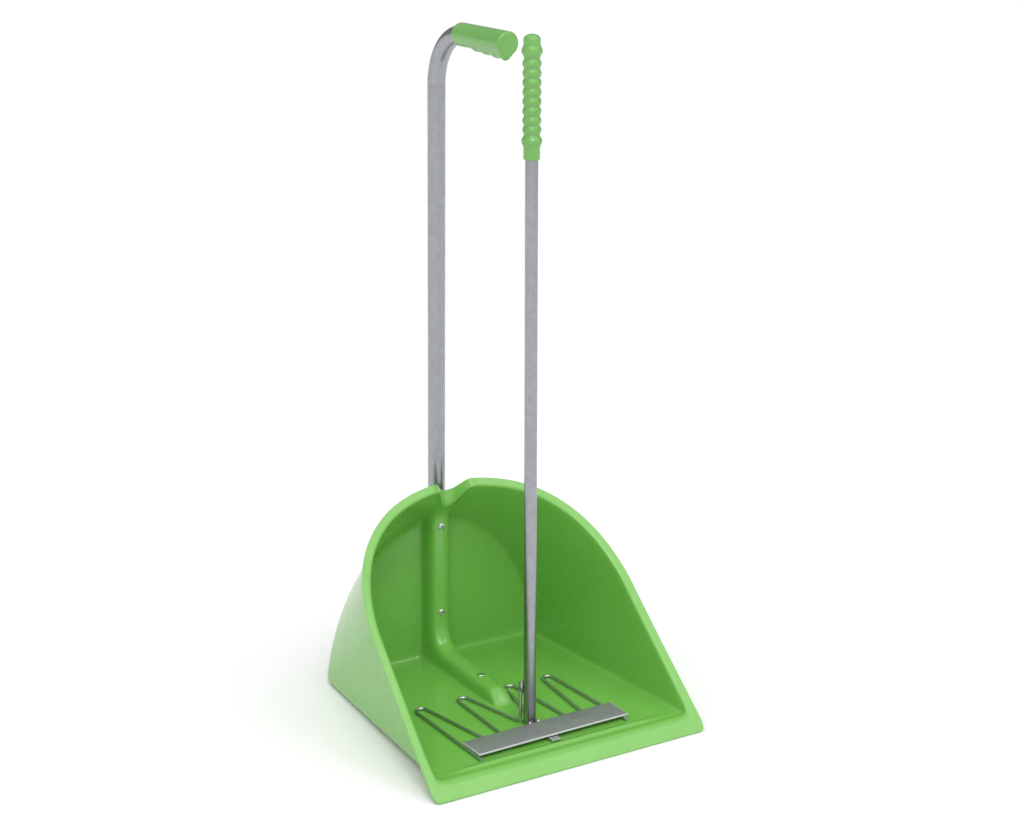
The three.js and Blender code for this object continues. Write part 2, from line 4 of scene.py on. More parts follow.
import bmesh
import bpy
from mathutils import Matrix, Vector


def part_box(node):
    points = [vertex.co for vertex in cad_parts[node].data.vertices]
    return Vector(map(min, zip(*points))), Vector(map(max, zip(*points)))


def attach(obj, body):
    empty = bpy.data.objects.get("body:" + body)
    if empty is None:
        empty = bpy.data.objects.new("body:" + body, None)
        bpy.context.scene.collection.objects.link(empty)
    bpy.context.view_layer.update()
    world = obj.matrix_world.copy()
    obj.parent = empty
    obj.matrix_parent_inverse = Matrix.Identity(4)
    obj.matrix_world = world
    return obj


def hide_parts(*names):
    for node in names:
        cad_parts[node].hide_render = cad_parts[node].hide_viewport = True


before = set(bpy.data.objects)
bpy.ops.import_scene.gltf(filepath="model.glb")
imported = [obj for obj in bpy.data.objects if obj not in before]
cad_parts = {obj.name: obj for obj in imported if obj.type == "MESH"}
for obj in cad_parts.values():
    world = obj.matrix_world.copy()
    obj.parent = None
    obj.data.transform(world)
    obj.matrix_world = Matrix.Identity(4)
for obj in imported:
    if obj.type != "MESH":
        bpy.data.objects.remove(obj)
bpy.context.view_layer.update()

mm = 0.001
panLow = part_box("pan")[0]


def place(x, y, z):
    # sizes below are in millimetres, with Y from the front edge of the lip and Z from the ground
    return Vector((x * mm, panLow.y + y * mm, panLow.z + z * mm))


def lerp(a, b, t):
    return a + (b - a) * t


def smoothStep(t):
    t = min(max(t, 0), 1)
    return t * t * (3 - 2 * t)


def addObject(name, data):
    thing = bpy.data.objects.new(name, data)
    bpy.context.scene.collection.objects.link(thing)
    return thing


def meshObject(name, vertices, faces, smooth=True):
    mesh = bpy.data.meshes.new(name)
    mesh.from_pydata([tuple(v) for v in vertices], [], faces)
    mesh.validate()
    if smooth:
        mesh.shade_smooth()
    return addObject(name, mesh)


def bandFaces(first, second, sides):
    # quads between two rings of vertices, each given by the index of its first vertex
    faces = []
    for k in range(sides):
        n = (k + 1) % sides
        faces.append((first + k, first + n, second + n, second + k))
    return faces


def outwardNormals(thing):
    work = bmesh.new()
    work.from_mesh(thing.data)
    bmesh.ops.remove_doubles(work, verts=work.verts, dist=1e-6)
    bmesh.ops.recalc_face_normals(work, faces=work.faces)
    work.to_mesh(thing.data)
    work.free()
    return thing


def addModifier(thing, kind, **settings):
    modifier = thing.modifiers.new(kind.title(), kind)
    for key, value in settings.items():
        setattr(modifier, key, value)


def roundEdges(thing, width, segments):
    # rounds each edge that turns more than the limit, in radians
    limit = {"limit_method": "ANGLE", "angle_limit": 1.0}
    addModifier(thing, "BEVEL", width=width * mm, segments=segments, **limit)


def finishPiece(piece, material, body, slot, *nodes):
    piece.data.materials.clear()
    piece.data.materials.append(material)
    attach(piece, body)
    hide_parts(*nodes)


# the spot is in metres, the angles in degrees, and the lens and sensor in millimetres
camera = {
    "spot": (-1.1069, -1.8590, 1.0627), "turn": 31.06, "down": 17.21, "roll": 0.69,
    "lens": 66.8, "sensor": 36,
}


def makeCamera():
    data = bpy.data.cameras.new("camera")
    data.sensor_width = camera["sensor"]
    data.sensor_fit = "HORIZONTAL"
    data.lens = camera["lens"]
    data.clip_end = 200
    aim = Matrix.Rotation(-math.radians(camera["turn"]), 4, "Z")
    aim = aim @ Matrix.Rotation(math.radians(90 - camera["down"]), 4, "X")
    aim = aim @ Matrix.Rotation(math.radians(camera["roll"]), 4, "Z")
    thing = addObject("camera", data)
    thing.matrix_world = Matrix.Translation(camera["spot"]) @ aim
    bpy.context.scene.camera = thing


makeCamera()
print("camera placed")


def newMaterial(name, **sockets):
    material = bpy.data.materials.new(name)
    material.use_nodes = True
    shader = material.node_tree.nodes["Principled BSDF"]
    for key, value in sockets.items():
        shader.inputs[key.replace("_", " ")].default_value = value
    return material, material.node_tree, shader


def addNode(tree, kind, links=None, **settings):
    # links: input name or number -> value or another node's output
    node = tree.nodes.new(kind)
    for key, value in settings.items():
        setattr(node, key, value)
    for key, value in (links or {}).items():
        if isinstance(value, bpy.types.NodeSocket):
            tree.links.new(value, node.inputs[key])
        else:
            node.inputs[key].default_value = value
    return node


def objectPlace(tree, scale=(1, 1, 1), turn=(0, 0, 0)):
    place3d = addNode(tree, "ShaderNodeTexCoord").outputs["Object"]
    mapping = addNode(tree, "ShaderNodeMapping", {"Vector": place3d, "Rotation": turn, "Scale": scale})
    return mapping.outputs["Vector"]


def noise(tree, vector, size, detail=3, rough=0.5):
    # size is the width of the largest patches, in millimetres
    links = {"Vector": vector, "Scale": 1 / (size * mm), "Detail": detail, "Roughness": rough}
    return addNode(tree, "ShaderNodeTexNoise", links).outputs["Fac"]


def remap(tree, value, low, high, toLow, toHigh):
    links = {"Value": value, "From Min": low, "From Max": high, "To Min": toLow, "To Max": toHigh}
    return addNode(tree, "ShaderNodeMapRange", links).outputs["Result"]


def blendColours(tree, factor, first, second):
    # inputs 0, 6 and 7 of a colour mix are its factor and its two colours, and output 2 is the result
    node = addNode(tree, "ShaderNodeMix", data_type="RGBA")
    for socket, value in ((node.inputs[0], factor), (node.inputs[6], first), (node.inputs[7], second)):
        if isinstance(value, bpy.types.NodeSocket):
            tree.links.new(value, socket)
        else:
            socket.default_value = value
    return node.outputs[2]


def addMath(tree, operation, first, second=0.0):
    return addNode(tree, "ShaderNodeMath", {0: first, 1: second}, operation=operation).outputs[0]


def addBump(tree, shader, height, depth):
    links = {"Height": height, "Strength": 1.0, "Distance": depth * mm}
    bump = addNode(tree, "ShaderNodeBump", links).outputs["Normal"]
    tree.links.new(bump, shader.inputs["Normal"])


panPlastic = {"base": (0.156, 0.440, 0.066, 1), "pale": (0.172, 0.462, 0.080, 1), "rough": (0.20, 0.29)}
gripPlastic = {"base": (0.140, 0.385, 0.078, 1), "pale": (0.170, 0.420, 0.105, 1), "rough": (0.24, 0.36)}
plugPlastic = {"base": (0.02, 0.02, 0.02, 1), "pale": (0.045, 0.045, 0.045, 1), "rough": (0.45, 0.6)}
zinc = {"light": (0.40, 0.41, 0.435, 1), "dark": (0.32, 0.33, 0.355, 1), "rough": (0.28, 0.40)}
wireSteel = {"light": (0.66, 0.67, 0.68, 1), "dark": (0.42, 0.43, 0.44, 1), "rough": (0.30, 0.45)}
bladeSteel = {"light": (0.33, 0.34, 0.35, 1), "dark": (0.22, 0.23, 0.24, 1), "rough": (0.36, 0.5)}
weldSteel = {"light": (0.55, 0.55, 0.55, 1), "dark": (0.16, 0.15, 0.14, 1), "rough": (0.3, 0.6)}
rivetMetal = {"light": (0.74, 0.75, 0.77, 1), "dark": (0.52, 0.53, 0.55, 1), "rough": (0.2, 0.34)}
pinSteel = {"light": (0.24, 0.24, 0.25, 1), "dark": (0.10, 0.10, 0.11, 1), "rough": (0.4, 0.6)}
# patch sizes are in millimetres: soft cloudy colour, patches of sheen, and the fine orange peel of moulding
moulding = {"cloud": 90, "cloudFrom": 0.35, "cloudTo": 0.75, "cloudMost": 0.8, "sheen": 14, "peel": 1.6}
gloss = {"IOR": 1.5, "Coat_Weight": 0.35, "Coat_Roughness": 0.09, "Coat_IOR": 1.5}
hairline = {
    "spacing": 0.061, "wander": 2.6, "detail": 1.5, "detailScale": 0.6, "sharp": 0.9988, "run": 60,
    "runFrom": 0.58, "runTo": 0.66, "colour": (0.24, 0.50, 0.17, 1), "strength": 0.08, "dulling": 0.05,
}
waveRepeat = 0.314  # metres from one band of a wave texture to the next, at a scale of 1
metalLine = 0.9  # width of the finest drawn or brushed lines, in millimetres
metalSpread = 0.16  # how far the grain strays from its middle to be fully light or dark, at a contrast of 1


def hairlines(tree, turn, seedPlace):
    # long thin scuffs that curve a little, broken into short runs
    vector = objectPlace(tree, (1, 1, 1), turn)
    links = {
        "Vector": vector, "Scale": waveRepeat / hairline["spacing"], "Distortion": hairline["wander"],
        "Detail": hairline["detail"], "Detail Scale": hairline["detailScale"],
    }
    wave = addNode(tree, "ShaderNodeTexWave", links).outputs["Fac"]
    line = remap(tree, wave, hairline["sharp"], 1, 0, 1)
    where = addNode(tree, "ShaderNodeVectorMath", {0: vector, 1: seedPlace}, operation="ADD").outputs[0]
    runs = remap(tree, noise(tree, where, hairline["run"], 2), hairline["runFrom"], hairline["runTo"], 0, 1)
    return addMath(tree, "MULTIPLY", line, runs)


def mouldedPlastic(name, look, grain=0.006, scuffed=False):
    material, tree, shader = newMaterial(name, **gloss)
    plain = objectPlace(tree)
    cloudy = noise(tree, plain, moulding["cloud"], 2)
    paler = remap(tree, cloudy, moulding["cloudFrom"], moulding["cloudTo"], 0, moulding["cloudMost"])
    colour = blendColours(tree, paler, look["base"], look["pale"])
    rough = remap(tree, noise(tree, plain, moulding["sheen"], 4, 0.6), 0.3, 0.7, *look["rough"])
    if scuffed:
        first = hairlines(tree, (0.35, 0.5, 0.9), (0, 0, 0))
        second = hairlines(tree, (1.1, 0.2, 2.3), (3, 1, 2))
        marks = addMath(tree, "MAXIMUM", first, second)
        tint = addMath(tree, "MULTIPLY", marks, hairline["strength"])
        colour = blendColours(tree, tint, colour, hairline["colour"])
        rough = addMath(tree, "ADD", rough, addMath(tree, "MULTIPLY", marks, hairline["dulling"]))
    tree.links.new(colour, shader.inputs["Base Color"])
    tree.links.new(rough, shader.inputs["Roughness"])
    addBump(tree, shader, noise(tree, plain, moulding["peel"], 3, 0.55), grain)
    return material


def workedMetal(name, look, stretch=(1, 1, 1), size=6, grain=0.01, contrast=1.0, metallic=1.0):
    # stretch is small along the direction in which the metal was drawn or brushed
    material, tree, shader = newMaterial(name, Metallic=metallic)
    lines = noise(tree, objectPlace(tree, stretch), metalLine, 4, 0.7)
    patches = noise(tree, objectPlace(tree), size, 5, 0.6)
    both = addMath(tree, "MULTIPLY", addMath(tree, "ADD", lines, patches), 0.5)
    factor = remap(tree, both, 0.5 - metalSpread / contrast, 0.5 + metalSpread / contrast, 0, 1)
    colour = blendColours(tree, factor, look["dark"], look["light"])
    tree.links.new(colour, shader.inputs["Base Color"])
    tree.links.new(remap(tree, both, 0.35, 0.65, *reversed(look["rough"])), shader.inputs["Roughness"])
    addBump(tree, shader, lines, grain)
    return material


materials = {
    "pan": mouldedPlastic("panPlastic", panPlastic, scuffed=True),
    "grip": mouldedPlastic("gripPlastic", gripPlastic, grain=0.007),
    "plug": mouldedPlastic("plugPlastic", plugPlastic, grain=0.03),
    "uprightZinc": workedMetal("uprightZinc", zinc, stretch=(1, 1, 0.05), size=9),
    "wireZinc": workedMetal("wireZinc", wireSteel, stretch=(0.3, 0.1, 0.3), size=5),
    "weld": workedMetal("weldSteel", weldSteel, size=3, grain=0.04, contrast=2.0),
    "rivet": workedMetal("rivetMetal", rivetMetal, size=4, grain=0.008),
    "pin": workedMetal("pinSteel", pinSteel, size=2, grain=0.02),
}
print("materials ready")

pan = {
    "wall": 3.0, "edgeRound": 1.1,
    "rimHalfFront": 189, "rimHalfSide": 184, "shoulderZ": 130, "topZ": 266, "roundness": 2.27,
    "slope": 1.139, "edgeZ": 2.3, "bow": 4.5, "flange": 12, "lipCorner": 2.4,
    "crestY": 17, "crestZ": 16.9, "crestFall": 7, "crestStep": 0.6,
    "beadY": 34.5, "beadRise": 4, "beadHalf": 151, "beadAhead": 5, "beadBehind": 4.5,
    "floorFrontZ": 16.5, "floorBackZ": 3.2, "floorHalf": 174, "floorTaper": 0.058,
    "backY": 353.6, "backHalf": 155, "archCentreZ": -30, "archHeight": 227, "archFromY": 165,
    "soft": 12, "softMost": 0.3, "underFlange": 7, "rowEase": 0.8, "lipLean": 1.5,
    # distances of the flat floor's rows, and shares of the way out from the channel across the lip
    "floorRows": (46, 75, 110, 140, 157),
    "lipSpread": (0.3, 0.6, 0.76, 0.8, 0.84, 0.88, 0.905, 0.925, 0.94, 0.965, 1),
}
channel = {
    "r": 15.6, "squareness": 0.8, "halfFloor": 22, "halfBack": 19, "noseFootY": 164,
    "narrowOver": 50, "narrowBelow": 0.85, "filletUp": 0.25, "filletOut": 0.3,
    # rows up the nose as (distance behind its foot, share of the height, half width)
    "nose": ((0, 0, 17), (6, 0.32, 17), (14, 0.74, 17.5), (22, 0.98, 18)),
    # rows past the nose as (distance, half width)
    "floor": ((196, 18), (225, 19), (262, 22)),
    # the bend: a row's distance, the share of the arch one step up, and its last row as for climb
    "bendY": 318, "archStep": 0.05, "bendTop": (37, 0.155),
    # rows up the back as (height, share of the way round the arch)
    "climb": ((57.5, 0.28), (75, 0.41), (92, 0.55), (108, 0.69), (122, 0.845), (135, 1)),
}
notch = {
    "half": 27, "innerY": 316, "innerZ": 227, "outerY": 318.5, "outerZ": 246,
    # heights up the face of the channel, then its forward lean as (distance, height)
    "faceZ": (151, 168, 184, 199, 210), "lean": ((324, 217), (320.5, 221)),
    "under": (1.5, 3.5), "over": (0.5, 0.45), "waveFrom": 3, "waveOver": 5,
}
ridgeLast = 5  # number of the point at the foot of the channel, counted from its crest
handle = {
    "r": 11, "wall": 1.5, "sides": 48, "y": 343, "footZ": 12.5, "footEndY": 198,
    "lowBend": 45, "topBend": 66, "topZ": 823.6,
}


def rimZ(y):
    return y / pan["slope"] + pan["edgeZ"]


def floorZ(y):
    run = (y - pan["crestY"]) / (pan["backY"] - pan["crestY"])
    return lerp(pan["floorFrontZ"], pan["floorBackZ"], run)


def rimHalfAt(z):
    if z < pan["shoulderZ"]:
        return lerp(pan["rimHalfFront"], pan["rimHalfSide"], z / pan["shoulderZ"])
    up = min((z - pan["shoulderZ"]) / (pan["topZ"] - pan["shoulderZ"]), 1)
    return pan["rimHalfSide"] * (1 - up ** pan["roundness"]) ** (1 / pan["roundness"])


def rimPoint(x, z):
    # the rim lies in a leaning plane, bowed back a little at the middle of its height
    bow = pan["bow"] * math.sin(math.pi * min((z - pan["edgeZ"]) / (pan["topZ"] - pan["edgeZ"]), 1))
    return Vector((x, pan["slope"] * (z - pan["edgeZ"]) + bow, z))


def flangeEdges(point, following):
    # outer edge, and the inner edge a flange width away in the plane of the rim
    facing = Vector((0, -1, pan["slope"])).normalized()
    inward = -(following - point).normalized().cross(facing)
    return point, point + inward * pan["flange"]


def sideFlange(y):
    z = rimZ(y)
    return flangeEdges(rimPoint(rimHalfAt(z), z), rimPoint(rimHalfAt(z + 1), z + 1))


archStart = math.asin((pan["floorBackZ"] - pan["archCentreZ"]) / pan["archHeight"])
archEnd = math.acos((channel["halfBack"] + 1) / pan["backHalf"])
archPower = 2 / pan["roundness"]
archRise = pan["topZ"] - pan["shoulderZ"]
rimStart = math.asin(((rimZ(pan["archFromY"]) - pan["shoulderZ"]) / archRise) ** (1 / archPower))
rimEnd = math.acos((notch["half"] / pan["rimHalfSide"]) ** (1 / archPower))


def archPoint(t):
    a = lerp(archStart, archEnd, t)
    z = pan["archCentreZ"] + pan["archHeight"] * math.sin(a)
    return Vector((pan["backHalf"] * math.cos(a), pan["backY"], z))


def archFlange(t):
    ends = []
    for s in (t, t + 0.01):
        a = lerp(rimStart, rimEnd, s)
        x = pan["rimHalfSide"] * math.cos(a) ** archPower
        ends.append(rimPoint(x, pan["shoulderZ"] + archRise * math.sin(a) ** archPower))
    return flangeEdges(*ends)


def floorRow(y, lift, width):
    # base and crest are (y, z); the crest is the top of the channel over the handle
    z = floorZ(y)
    top = lerp(z, handle["footZ"] + channel["r"], lift)
    rise = handle["footZ"] - z
    return {"base": (y, z), "top": (y, top), "rise": rise, "width": width, "ridged": lift > 0}


bendY = handle["y"] - handle["lowBend"]
bendZ = handle["footZ"] + handle["lowBend"]


def bendRow(y, z, t=None):
    reach = math.hypot(y - bendY, z - bendZ)
    k = (handle["lowBend"] - channel["r"]) / reach
    top = (bendY + (y - bendY) * k, bendZ + (z - bendZ) * k)
    up = min(max((z - pan["floorBackZ"]) / channel["narrowOver"], 0), 1)
    width = lerp(channel["halfFloor"], channel["halfBack"], up)
    rise = reach - handle["lowBend"]
    return {"base": (y, z), "top": top, "rise": rise, "width": width, "ridged": True, "t": t}


def backRow(z, t):
    base, top = (pan["backY"], z), (handle["y"] - channel["r"], z)
    rise = pan["backY"] - handle["y"]
    return {"base": base, "top": top, "rise": rise, "width": channel["halfBack"], "ridged": True, "t": t}


def lipRow(y, z, bead=0):
    flat = {"base": (y, z), "top": (y, z), "rise": 0, "width": channel["halfFloor"], "ridged": False}
    return {**flat, "bead": bead}


def sheetRows():
    soft, beadY, behind = pan["soft"], pan["beadY"], pan["beadY"] + pan["beadBehind"]
    rows = [
        lipRow(0, pan["edgeZ"]),
        lipRow(pan["crestY"] * 0.5, lerp(pan["edgeZ"], pan["crestZ"], 0.5)),
        lipRow(pan["crestY"], pan["crestZ"]),
        lipRow(pan["crestY"] + pan["crestFall"], floorZ(pan["crestY"]) + pan["crestStep"]),
        lipRow(beadY - pan["beadAhead"], floorZ(beadY)),
        lipRow(beadY, floorZ(beadY), pan["beadRise"]),
        lipRow(behind, floorZ(behind)),
    ]
    rows += [floorRow(y, 0, channel["halfFloor"]) for y in pan["floorRows"]]
    rows += [floorRow(channel["noseFootY"] + far, lift, width) for far, lift, width in channel["nose"]]
    rows += [floorRow(y, 1, width) for y, width in channel["floor"]]
    rows.append(floorRow(bendY, 1, channel["halfFloor"]))
    rows += [bendRow(y, floorZ(y)) for y in (channel["bendY"], pan["backY"] - soft)]
    rows += [
        bendRow(pan["backY"], pan["floorBackZ"]),
        bendRow(pan["backY"], pan["floorBackZ"] + soft, channel["archStep"]),
        bendRow(pan["backY"], *channel["bendTop"]),
    ]
    return rows + [backRow(*station) for station in channel["climb"]]


def ridgeSection(base, top, rise, width, ridged):
    # crest, round shoulder, side and foot of the channel, for one half
    points = []
    narrow = 1
    if width / channel["halfFloor"] < channel["narrowBelow"]:
        narrow = width / channel["halfBack"]
    for k in range(ridgeLast + 1):
        a = math.radians(min(k, 3) * 30)
        x, up = k / ridgeLast * width, 0
        if ridged:
            over = channel["r"] * max(math.cos(a), 0) ** channel["squareness"]
            up = (rise + over) / (rise + channel["r"])
            x = channel["r"] * math.sin(a) ** channel["squareness"] * narrow
        if ridged and k == ridgeLast - 1:
            up, x = up * channel["filletUp"], lerp(x, width, channel["filletOut"])
        if ridged and k == ridgeLast:
            up, x = 0, width
        points.append(Vector((x, lerp(base[0], top[0], up), lerp(base[1], top[1], up))))
    return points


def sideSection(row, start):
    # floor or back, the soft corner, the side wall and the flange, for one half
    y, z = row["base"]
    t = row.get("t")
    if t is None:
        corner = Vector((pan["floorHalf"] - pan["floorTaper"] * y, y, z))
        run = (y - pan["crestY"]) / (pan["backY"] - pan["crestY"])
        rimY = y if run <= 0 else lerp(pan["crestY"], pan["archFromY"], run ** pan["rowEase"])
        outer, inner = sideFlange(rimY)
    else:
        corner = archPoint(t)
        outer, inner = archFlange(t)
    if y <= pan["crestY"]:
        points = [Vector((lerp(start.x, outer.x, s), y, z)) for s in pan["lipSpread"]]
        if y == 0:
            rounding, lean = pan["lipCorner"], pan["lipLean"]
            points[-1] += Vector((-rounding, rounding * pan["slope"] / lean, rounding / lean))
        return points
    soft = min(pan["soft"], (corner - inner).length * pan["softMost"])
    before = corner + (start - corner).normalized() * pan["soft"]
    upWall = (inner - corner).normalized()
    after = corner + upWall * soft
    below = inner - upWall * min(pan["underFlange"], soft)
    return [
        start.lerp(before, 1 / 3), start.lerp(before, 2 / 3), before, corner, after,
        after.lerp(below, 1 / 3), after.lerp(below, 2 / 3), below,
        inner, inner.lerp(outer, 0.5), outer,
    ]


def crestLine():
    # the middle line from the back wall up over the notch in the rim, as (y, z)
    face = handle["y"] - channel["r"]
    line = [(face, z) for z in notch["faceZ"]] + list(notch["lean"])
    y, z = notch["innerY"], notch["innerZ"]
    (underY, underZ), (overY, overShare) = notch["under"], notch["over"]
    rim = [(y + underY, z - underZ), (y, z), (y + overY, lerp(z, notch["outerZ"], overShare))]
    return line + rim + [(notch["outerY"], notch["outerZ"])]


def makePan():
    points, quads = [], []

    def add(p):
        points.append(p)
        return len(points) - 1

    def mirrored(p):
        return Vector((-p.x, p.y, p.z))

    def joinRows(first, second):
        for k in range(1, len(first)):
            quads.append((first[k - 1], first[k], second[k], second[k - 1]))

    grid = []
    for row in sheetRows():
        middle = ridgeSection(row["base"], row["top"], row["rise"], row["width"], row["ridged"])
        half = middle + sideSection(row, middle[ridgeLast])
        for p in half:
            if p.x < pan["beadHalf"]:
                p.z += row.get("bead", 0)
        left = [add(mirrored(p)) for p in reversed(half[1:])]
        grid.append(left + [add(p) for p in half])
    for first, second in zip(grid, grid[1:]):
        joinRows(first, second)
    last = grid[-1]
    centre = (len(last) - 1) // 2
    previous = last[centre - ridgeLast:centre + ridgeLast + 1]
    for s, top in enumerate(crestLine()):
        aside = ridgeLast + 1 + s
        right, left = last[centre + aside], last[centre - aside]
        foot = points[right]
        section = ridgeSection((foot.y, foot.z), top, pan["backY"] - handle["y"], foot.x, True)
        # the round channel turns into a soft wave at the rim
        wave = min(max((s - notch["waveFrom"]) / notch["waveOver"], 0), 1)
        for k, p in enumerate(section):
            p.x = lerp(p.x, k / ridgeLast * foot.x, wave)
        across = range(1 - ridgeLast, ridgeLast)
        inside = [add(mirrored(section[-k]) if k < 0 else section[k]) for k in across]
        row = [left] + inside + [right]
        joinRows(previous, row)
        previous = row
    thing = meshObject("panShell", [place(*p) for p in points], quads)
    addModifier(thing, "SUBSURF", levels=2, render_levels=2, use_limit_surface=True)
    addModifier(thing, "SOLIDIFY", thickness=pan["wall"] * mm, offset=-1, use_even_offset=True)
    roundEdges(thing, pan["edgeRound"], 3)
    return thing


finishPiece(makePan(), materials["pan"], "scoop", "pan_plastic", "pan")
print("pan moulded")


def arcPoints(centre, radius, fromDegrees, toDegrees, steps, axisA, axisB):
    points = []
    for i in range(steps + 1):
        a = math.radians(lerp(fromDegrees, toDegrees, i / steps))
        points.append(centre + axisA * radius * math.cos(a) + axisB * radius * math.sin(a))
    return points


xAxis, yAxis, zAxis = Vector((1, 0, 0)), Vector((0, 1, 0)), Vector((0, 0, 1))
tubeEdge = 0.3  # rounding of a cut tube end
fitGap = 0.15  # between a push-fit grip and its tube


def newTree(name, sockets):
    # sockets: name -> (type, default value); every tree also takes and gives a geometry
    tree = bpy.data.node_groups.new(name, "GeometryNodeTree")
    tree.interface.new_socket("Geometry", in_out="INPUT", socket_type="NodeSocketGeometry")
    tree.interface.new_socket("Geometry", in_out="OUTPUT", socket_type="NodeSocketGeometry")
    for label, (kind, value) in sockets.items():
        socket = tree.interface.new_socket(label, in_out="INPUT", socket_type=f"NodeSocket{kind}")
        if value is not None:
            socket.default_value = value
    return tree, tree.nodes.new("NodeGroupInput"), tree.nodes.new("NodeGroupOutput")


def closeTree(tree, geometry, given, result):
    real = addNode(tree, "GeometryNodeRealizeInstances", {"Geometry": geometry})
    painted = addNode(
        tree, "GeometryNodeSetMaterial", {"Geometry": real.outputs[0], "Material": given.outputs["Finish"]}
    )
    tree.links.new(painted.outputs[0], result.inputs["Geometry"])


def applyTree(host, tree, name, **values):
    # sets the named inputs, evaluates the tree once and keeps the result as a plain mesh
    modifier = host.modifiers.new(tree.name, "NODES")
    modifier.node_group = tree
    sockets = {item.name: item.identifier for item in tree.interface.items_tree if item.in_out == "INPUT"}
    for label, value in values.items():
        modifier[sockets[label.replace("_", " ")]] = value
    bpy.context.view_layer.update()
    mesh = bpy.data.meshes.new_from_object(host.evaluated_get(bpy.context.evaluated_depsgraph_get()))
    mesh.name = name
    mesh.shade_smooth()
    host.modifiers.remove(modifier)
    bpy.data.objects.remove(host)
    return addObject(name, mesh)


def pathObject(points):
    data = bpy.data.curves.new("path", "CURVE")
    data.dimensions = "3D"
    spline = data.splines.new("POLY")
    spline.points.add(len(points) - 1)
    for spot, p in zip(spline.points, points):
        spot.co = (*p, 1)
    return addObject("path", data)


def rodTree():
    wanted = {"Radius": ("Float", 0.002), "Sides": ("Int", 16), "Finish": ("Material", None)}
    tree, given, result = newTree("roundRod", wanted)
    section = addNode(
        tree, "GeometryNodeCurvePrimitiveCircle",
        {"Resolution": given.outputs["Sides"], "Radius": given.outputs["Radius"]},
    )
    rod = addNode(
        tree, "GeometryNodeCurveToMesh",
        {"Curve": given.outputs["Geometry"], "Profile Curve": section.outputs["Curve"], "Fill Caps": True},
    )
    closeTree(tree, rod.outputs[0], given, result)
    return tree


roundRod = rodTree()


def hollowTube(name, path, outer, inner, sides):
    # rings of the outer and the inner wall along a path, joined at both ends
    vertices, faces = [], []
    count = len(path)
    for radius in (outer, inner):
        for i, p in enumerate(path):
            along = (path[min(i + 1, count - 1)] - path[max(i - 1, 0)]).normalized()
            side = xAxis - along * along.dot(xAxis)
            side.normalize()
            up = along.cross(side)
            for k in range(sides):
                a = 2 * math.pi * k / sides
                vertices.append(p + (side * math.cos(a) + up * math.sin(a)) * radius)
    starts = list(range(0, 2 * count * sides, sides))
    order = starts[:count] + starts[count:][::-1]
    for first, second in zip(order, order[1:] + order[:1]):
        faces += bandFaces(first, second, sides)
    thing = outwardNormals(meshObject(name, vertices, faces))
    roundEdges(thing, tubeEdge, 2)
    return thing


topCentre = Vector((0, handle["y"] - handle["topBend"], handle["topZ"] - handle["topBend"]))
grip = {
    "r": 14, "endY": 173.5, "overBend": 4.5, "keelR": 5.5, "keelDrop": 5.7, "keelRise": 1.13, "twist": 9,
    "fingerPitch": 22.8, "fingers": 4, "fingerDip": 1.9, "dipPower": 0.8, "fadeOver": 0.9,
    "endRound": 3.6, "collarRound": 0.9, "tubeStop": 12, "sides": 64, "steps": 140, "stepsShortBy": 4,
    "insideRings": 5, "insideEvery": 9,
}


def makeHandleTube():
    low = Vector((0, bendY, bendZ))
    path = [Vector((0, handle["footEndY"], handle["footZ"]))]
    path += arcPoints(low, handle["lowBend"], -90, 0, 24, yAxis, zAxis)
    path += arcPoints(topCentre, handle["topBend"], 0, 90, 28, yAxis, zAxis)
    path.append(Vector((0, grip["endY"] + grip["tubeStop"], handle["topZ"])))
    scaled = [place(*p) for p in path]
    outer, inner = handle["r"] * mm, (handle["r"] - handle["wall"]) * mm
    return hollowTube("handleTube", scaled, outer, inner, handle["sides"])


finishPiece(makeHandleTube(), materials["uprightZinc"], "scoop", "zinc_tube", "handle_tube")


def fingerDepth(along):
    # how far the grip reaches below the tube's axis at a distance from its closed end
    share = along / grip["fingerPitch"]
    fade = 1 - smoothStep((share - grip["fingers"] + 1) / grip["fadeOver"])
    dip = grip["fingerDip"] * (1 - abs(math.cos(math.pi * share)) ** grip["dipPower"])
    return max(grip["r"], grip["r"] + (grip["keelDrop"] - grip["keelRise"] * share) * fade - dip)


def gripRadius(a, depth):
    # a round top drawn down into a rounded keel; a is the angle from straight down
    r1, r2 = grip["r"], grip["keelR"]
    drop = depth - r2
    if drop <= r1 - r2 + 1e-6:
        return r1
    s = (r1 - r2) / drop
    flat = math.sqrt(1 - s * s)
    if a >= math.atan2(flat, s):
        return r1
    if a >= math.atan2(r2 * flat, drop + r2 * s):
        return r1 / (flat * math.sin(a) + s * math.cos(a))
    return drop * math.cos(a) + math.sqrt(max((drop * math.cos(a)) ** 2 - drop * drop + r2 * r2, 0))


def gripStations():
    # (point on the axis, direction away from the closed end, distance along, inset of the surface)
    length = handle["y"] - handle["topBend"] - grip["endY"]
    bendLength = math.radians(grip["overBend"]) * handle["topBend"]
    total = length + bendLength
    marks = [grip["endRound"] * (1 - math.cos(math.radians(a))) for a in range(0, 91, 15)]
    steps = grip["steps"]
    marks += [grip["endRound"] + i * (total - grip["stepsShortBy"]) / steps for i in range(1, steps + 1)]
    marks += [total - grip["collarRound"] * (1 - math.sin(math.radians(a))) for a in range(0, 91, 30)]
    stations = []
    for along in sorted(marks):
        if along <= length:
            p, way = Vector((0, grip["endY"] + along, handle["topZ"])), yAxis
        else:
            a = math.pi / 2 - (along - length) / handle["topBend"]
            p = topCentre + (yAxis * math.cos(a) + zAxis * math.sin(a)) * handle["topBend"]
            way = yAxis * math.sin(a) - zAxis * math.cos(a)
        inset = 0
        for rounding, left in ((grip["endRound"], along), (grip["collarRound"], total - along)):
            if left < rounding:
                inset = rounding - math.sqrt(max(rounding ** 2 - (rounding - left) ** 2, 0))
        stations.append((p, way, along, inset))
    return stations


